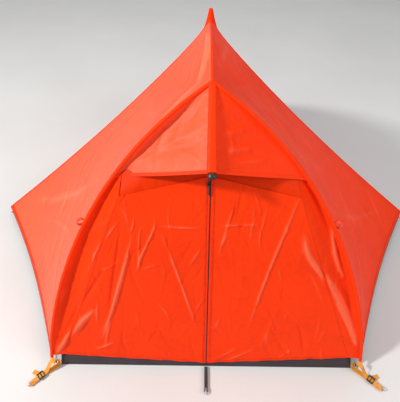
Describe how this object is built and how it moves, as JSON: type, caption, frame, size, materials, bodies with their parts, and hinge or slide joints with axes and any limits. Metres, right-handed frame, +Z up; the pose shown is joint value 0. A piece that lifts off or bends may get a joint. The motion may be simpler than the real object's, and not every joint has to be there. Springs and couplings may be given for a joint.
{
  "type": "dome tent",
  "caption": "Hubbed-pole shelter tent, pitched: orange fly with a triangular hood over zipped doors, inner tent with a dark tub floor, webbing corner straps and hook pegs.",
  "frame": {"origin": "on the ground, at the middle of the pitched tent's box", "axes": "+Z up, +Y from the doors towards the foot, +X to the right seen from the doors"},
  "size_m": [2.3172, 2.3483, 1.1322],
  "materials": {
    "fly_fabric": "coated nylon, slight sheen",
    "tub_fabric": "coated polyester",
    "inner_mesh": "light woven",
    "black_plastic": "moulded nylon",
    "zip_black": "coil zip",
    "pole_aluminium": "anodised",
    "peg_aluminium": "bare",
    "cord_white": "braided elastic",
    "black_webbing": "woven",
    "orange_webbing": "woven"
  },
  "bodies": {
    "tent": {"fly_front_left": "fly_fabric", "fly_front_right": "fly_fabric", "fly_rear_left": "fly_fabric", "fly_rear_right": "fly_fabric", "fly_foot": "fly_fabric", "fly_peak": "fly_fabric", "hood_left": "fly_fabric", "hood_right": "fly_fabric", "hood_tip_cap": "black_plastic", "door_header": "fly_fabric", "door_gusset_left": "fly_fabric", "door_gusset_right": "fly_fabric", "guy_loops": "fly_fabric", "door_toggles": "black_plastic", "floor_tub": "tub_fabric", "inner_wall_left": "inner_mesh", "inner_wall_right": "inner_mesh", "inner_foot": "inner_mesh", "inner_front": "inner_mesh", "pole_clips": "black_plastic", "front_leg_left": "pole_aluminium", "front_leg_right": "pole_aluminium", "ridge_pole": "pole_aluminium", "beak_pole": "pole_aluminium", "rear_leg_left": "pole_aluminium", "rear_leg_right": "pole_aluminium", "front_hub": "black_plastic", "rear_hub": "black_plastic", "pole_ferrules": "pole_aluminium", "pole_tips": "black_plastic", "shock_cords": "cord_white", "grommet_tabs": "orange_webbing", "strap_front_left": "orange_webbing", "strap_front_right": "orange_webbing", "strap_rear_left": "orange_webbing", "strap_rear_right": "orange_webbing", "side_loop_left": "fly_fabric", "side_loop_right": "fly_fabric", "centre_tab": "black_webbing"},
    "door_left": {"door_left": "fly_fabric", "zip_tape_left": "zip_black"},
    "door_right": {"door_right": "fly_fabric", "zip_tape_right": "zip_black"},
    "zip_slider": {"zip_slider": "zip_black"},
    "zip_pull": {"zip_pull": "zip_black"},
    "inner_door": {"inner_door": "inner_mesh"},
    "buckle_front_left": {"buckle_front_left": "black_plastic"},
    "buckle_front_right": {"buckle_front_right": "black_plastic"},
    "buckle_rear_left": {"buckle_rear_left": "black_plastic"},
    "buckle_rear_right": {"buckle_rear_right": "black_plastic"},
    "peg_front_left": {"peg_front_left": "peg_aluminium"},
    "peg_front_right": {"peg_front_right": "peg_aluminium"},
    "peg_rear_left": {"peg_rear_left": "peg_aluminium"},
    "peg_rear_right": {"peg_rear_right": "peg_aluminium"},
    "peg_side_left": {"peg_side_left": "peg_aluminium"},
    "peg_side_right": {"peg_side_right": "peg_aluminium"},
    "peg_centre": {"peg_centre": "peg_aluminium"}
  },
  "joints": [
    {"name": "door_right_swing", "type": "hinge", "parent": "tent", "child": "door_right", "pos_m": [0.604, -1.03643, 0.068], "axis": [-0.362, 0.3001, 0.8826], "range_deg": [0, 100]},
    {"name": "door_left_swing", "type": "hinge", "parent": "tent", "child": "door_left", "pos_m": [-0.604, -1.03643, 0.068], "axis": [-0.362, -0.3001, -0.8826], "range_deg": [0, 100]},
    {"name": "zip_slide", "type": "slide", "parent": "door_left", "child": "zip_slider", "axis": [0, -0.3219, -0.9468], "range_m": [0, 0.78]},
    {"name": "zip_pull_swing", "type": "hinge", "parent": "zip_slider", "child": "zip_pull", "pos_m": [-0.0049, -0.78712, 0.82302], "axis": [-1, 0, 0], "range_deg": [0, 120]},
    {"name": "inner_door_drop", "type": "hinge", "parent": "tent", "child": "inner_door", "pos_m": [0, -0.98026, 0.139], "axis": [-1, 0, 0], "range_deg": [0, 60]},
    {"name": "buckle_front_left_tilt", "type": "hinge", "parent": "tent", "child": "buckle_front_left", "pos_m": [-0.68864, -1.09679, 0.014], "axis": [-0.7133, 0.7009, 0], "range_deg": [0, 35]},
    {"name": "buckle_front_right_tilt", "type": "hinge", "parent": "tent", "child": "buckle_front_right", "pos_m": [0.68864, -1.09679, 0.014], "axis": [-0.7133, -0.7009, 0], "range_deg": [0, 35]},
    {"name": "buckle_rear_left_tilt", "type": "hinge", "parent": "tent", "child": "buckle_rear_left", "pos_m": [-0.4616, 1.10731, 0.014], "axis": [0.893, 0.4501, 0], "range_deg": [0, 35]},
    {"name": "buckle_rear_right_tilt", "type": "hinge", "parent": "tent", "child": "buckle_rear_right", "pos_m": [0.4616, 1.10731, 0.014], "axis": [0.893, -0.4501, 0], "range_deg": [0, 35]},
    {"name": "peg_front_left_pull", "type": "slide", "parent": "tent", "child": "peg_front_left", "axis": [-0.7009, -0.7133, 0], "range_m": [0, 0.12]},
    {"name": "peg_front_right_pull", "type": "slide", "parent": "tent", "child": "peg_front_right", "axis": [0.7009, -0.7133, 0], "range_m": [0, 0.12]},
    {"name": "peg_rear_left_pull", "type": "slide", "parent": "tent", "child": "peg_rear_left", "axis": [-0.4501, 0.893, 0], "range_m": [0, 0.12]},
    {"name": "peg_rear_right_pull", "type": "slide", "parent": "tent", "child": "peg_rear_right", "axis": [0.4501, 0.893, 0], "range_m": [0, 0.12]},
    {"name": "peg_side_left_pull", "type": "slide", "parent": "tent", "child": "peg_side_left", "axis": [-1, 0, 0], "range_m": [0, 0.12]},
    {"name": "peg_side_right_pull", "type": "slide", "parent": "tent", "child": "peg_side_right", "axis": [1, 0, 0], "range_m": [0, 0.12]},
    {"name": "peg_centre_pull", "type": "slide", "parent": "tent", "child": "peg_centre", "axis": [0, -1, 0], "range_m": [0, 0.12]}
  ]
}
